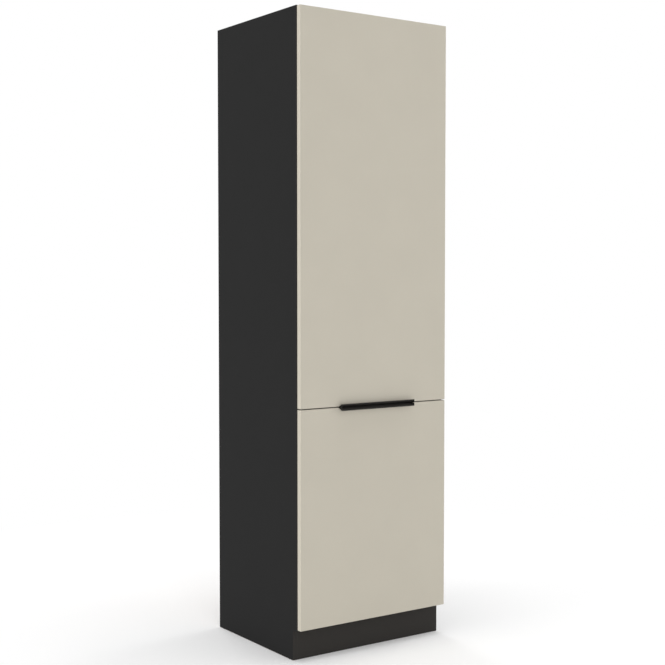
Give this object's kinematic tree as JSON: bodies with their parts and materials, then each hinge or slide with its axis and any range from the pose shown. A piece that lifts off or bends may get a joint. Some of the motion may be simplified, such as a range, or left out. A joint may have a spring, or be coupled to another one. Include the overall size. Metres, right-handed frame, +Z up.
{
  "type": "pantry cabinet",
  "caption": "Tall free-standing pantry cabinet with a short lower door and a tall upper door on concealed hinges, slim black edge pulls where they meet, and loose shelves inside.",
  "frame": {"origin": "centre of the whole box, pulls included, on the floor", "axes": "+Z up; the front with the doors faces -Y; +X to the right as seen from the front"},
  "size_m": [0.6, 0.539, 2.1],
  "materials": {
    "carcass_laminate": "matte charcoal melamine on particle board",
    "door_laminate": "matte warm greige laminate on particle board",
    "hardboard": "raw brown hardboard outside, charcoal inside",
    "black_metal": "matte black coated aluminium",
    "nickel_steel": "nickel-plated steel",
    "zinc_plated_steel": "zinc-plated steel",
    "zinc_casting": "dull zinc casting",
    "nail_steel": "bright steel wire nails",
    "beech": "fluted beech",
    "black_plastic": "matte black polyethylene",
    "clear_bumper": "translucent soft plastic"
  },
  "bodies": {
    "carcass": {"back_nails": "nail_steel", "back_sheet_lower": "hardboard", "back_sheet_upper": "hardboard", "bottom_panel": "carcass_laminate", "cam_bolts": "zinc_plated_steel", "cam_locks": "zinc_casting", "floor_glides": "black_plastic", "hinge_arm_lower_1": "nickel_steel", "hinge_arm_lower_2": "nickel_steel", "hinge_arm_screws": "zinc_plated_steel", "hinge_arm_upper_1": "nickel_steel", "hinge_arm_upper_2": "nickel_steel", "hinge_arm_upper_3": "nickel_steel", "hinge_plate_lower_1": "nickel_steel", "hinge_plate_lower_2": "nickel_steel", "hinge_plate_screws": "zinc_plated_steel", "hinge_plate_upper_1": "nickel_steel", "hinge_plate_upper_2": "nickel_steel", "hinge_plate_upper_3": "nickel_steel", "middle_shelf": "carcass_laminate", "plinth_board": "carcass_laminate", "shelf_lower_1": "carcass_laminate", "shelf_pins_lower_1": "nickel_steel", "shelf_pins_upper_1": "nickel_steel", "shelf_pins_upper_2": "nickel_steel", "shelf_pins_upper_3": "nickel_steel", "shelf_pins_upper_4": "nickel_steel", "shelf_upper_1": "carcass_laminate", "shelf_upper_2": "carcass_laminate", "shelf_upper_3": "carcass_laminate", "shelf_upper_4": "carcass_laminate", "side_panel_left": "carcass_laminate", "side_panel_right": "carcass_laminate", "top_panel": "carcass_laminate", "wall_bracket_left": "zinc_plated_steel", "wall_bracket_right": "zinc_plated_steel", "wall_bracket_screws": "zinc_plated_steel", "wooden_dowels": "beech"},
    "lower_door": {"bumpers_lower": "clear_bumper", "door_lower": "door_laminate", "hinge_cup_lower_1": "nickel_steel", "hinge_cup_lower_2": "nickel_steel", "hinge_cup_screws_lower": "zinc_plated_steel", "hinge_pins_lower": "nickel_steel", "pull_lower": "black_metal", "pull_lower_screws": "zinc_plated_steel"},
    "upper_door": {"bumpers_upper": "clear_bumper", "door_upper": "door_laminate", "hinge_cup_screws_upper": "zinc_plated_steel", "hinge_cup_upper_1": "nickel_steel", "hinge_cup_upper_2": "nickel_steel", "hinge_cup_upper_3": "nickel_steel", "hinge_pins_upper": "nickel_steel", "pull_upper": "black_metal", "pull_upper_screws": "zinc_plated_steel"}
  },
  "joints": [
    {"name": "lower_door_hinge", "type": "hinge", "parent": "carcass", "child": "lower_door", "pos_m": [0.29134, -0.241, 0.4615], "axis": [0, 0, 1], "range_deg": [0, 95]},
    {"name": "upper_door_hinge", "type": "hinge", "parent": "carcass", "child": "upper_door", "pos_m": [0.29134, -0.241, 1.4595], "axis": [0, 0, 1], "range_deg": [0, 95]}
  ]
}
